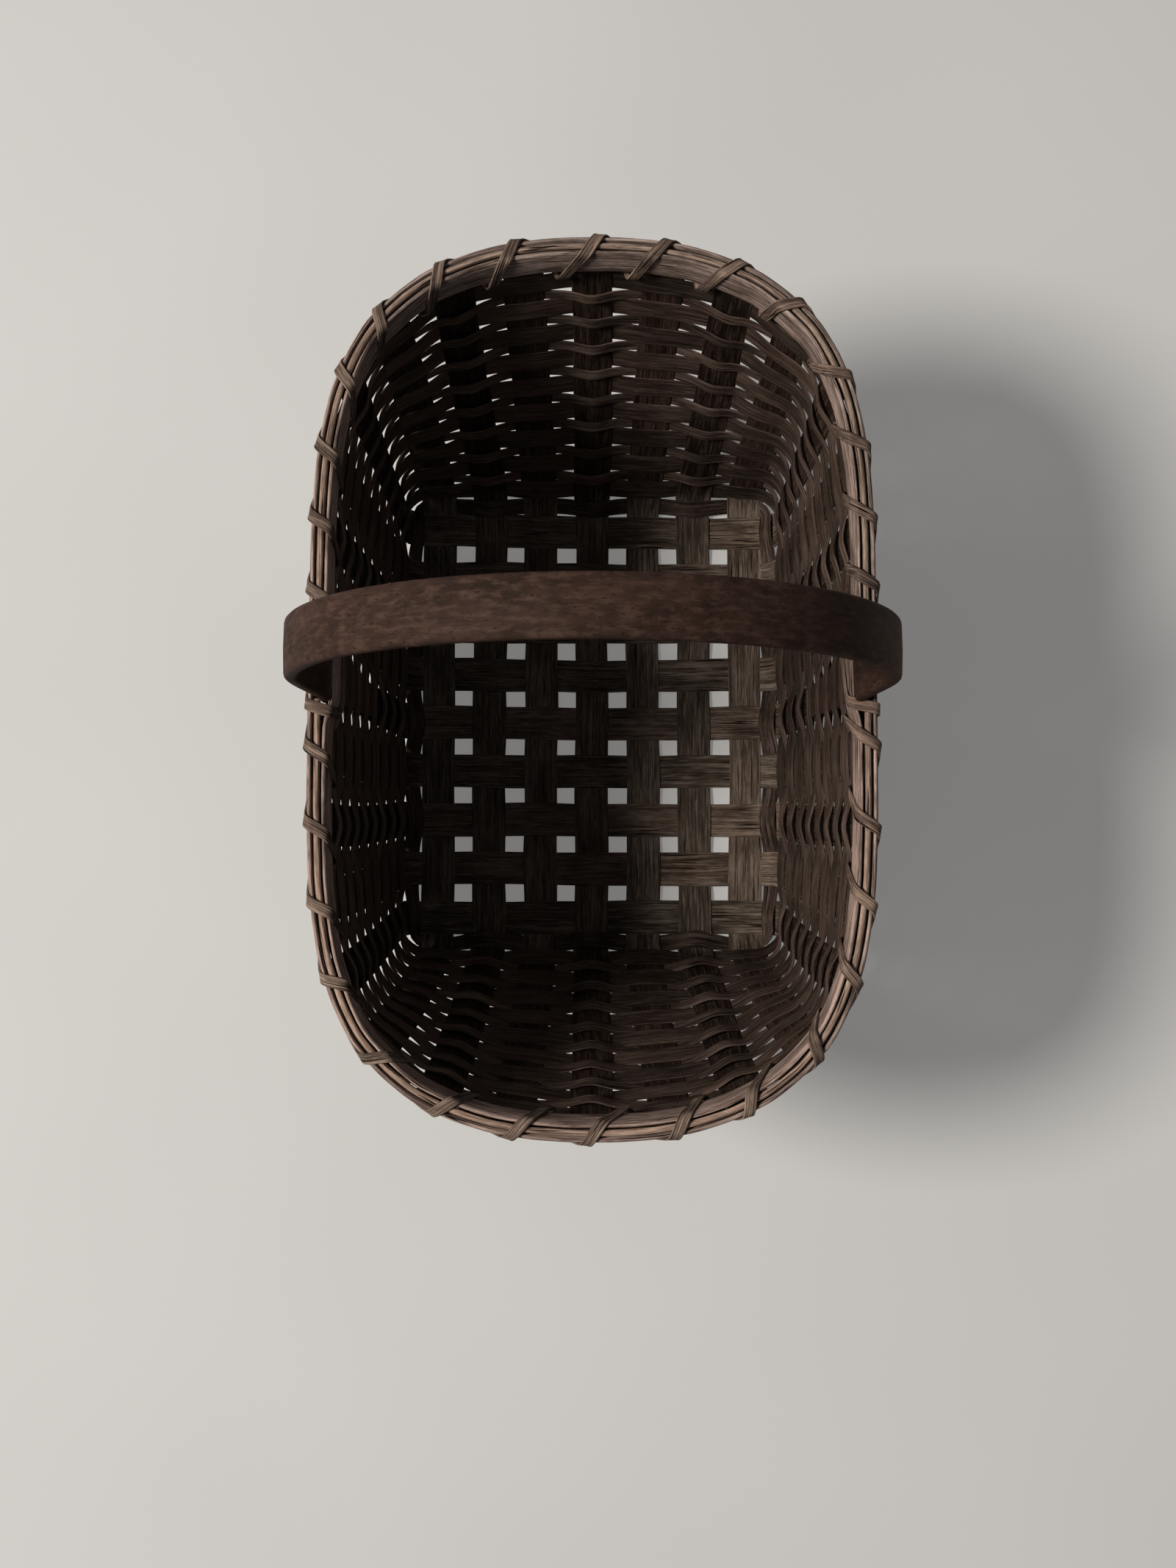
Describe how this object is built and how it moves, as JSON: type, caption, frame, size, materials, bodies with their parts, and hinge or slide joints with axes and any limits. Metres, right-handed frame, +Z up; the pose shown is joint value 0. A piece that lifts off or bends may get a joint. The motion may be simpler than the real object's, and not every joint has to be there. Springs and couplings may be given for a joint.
{
  "type": "chair-side basket",
  "caption": "Plaited reed basket with an open rectangular base, flaring walls, a lashed oval rim and a fixed hoop handle over the middle.",
  "frame": {"origin": "on the floor under the middle of the rim's outline", "axes": "+Z up, +Y along the basket towards its back end, +X to the right across it"},
  "size_m": [0.2372, 0.3704, 0.325],
  "materials": {
    "stake_reed": "stained reed, satin",
    "narrow_reed": "stained reed, satin",
    "wide_reed": "stained reed, satin",
    "rim_reed": "stained reed, satin",
    "lashing_reed": "stained reed, satin",
    "handle_wood": "stained bent wood, satin"
  },
  "bodies": {
    "root": {"long_stake_1": "stake_reed", "long_stake_2": "stake_reed", "long_stake_3": "stake_reed", "long_stake_4": "stake_reed", "long_stake_5": "stake_reed", "long_stake_6": "stake_reed", "long_stake_7": "stake_reed", "cross_stake_1": "stake_reed", "cross_stake_2": "stake_reed", "cross_stake_3": "stake_reed", "cross_stake_4": "stake_reed", "cross_stake_5": "stake_reed", "cross_stake_6": "stake_reed", "cross_stake_7": "stake_reed", "cross_stake_8": "stake_reed", "cross_stake_9": "stake_reed", "narrow_weaver_1": "narrow_reed", "narrow_weaver_2": "narrow_reed", "narrow_weaver_3": "narrow_reed", "narrow_weaver_4": "narrow_reed", "narrow_weaver_5": "narrow_reed", "narrow_weaver_6": "narrow_reed", "narrow_weaver_7": "narrow_reed", "narrow_weaver_8": "narrow_reed", "narrow_weaver_9": "narrow_reed", "wide_weaver_1": "wide_reed", "wide_weaver_2": "wide_reed", "wide_weaver_3": "wide_reed", "wide_weaver_4": "wide_reed", "wide_weaver_5": "wide_reed", "wide_weaver_6": "wide_reed", "wide_weaver_7": "wide_reed", "wide_weaver_8": "wide_reed", "wide_weaver_9": "wide_reed", "top_weaver": "wide_reed", "outer_rim": "rim_reed", "inner_rim": "rim_reed", "rim_filler_front": "rim_reed", "rim_filler_back": "rim_reed", "rim_lashing_front": "lashing_reed", "rim_lashing_back": "lashing_reed", "handle": "handle_wood"}
  },
  "joints": []
}
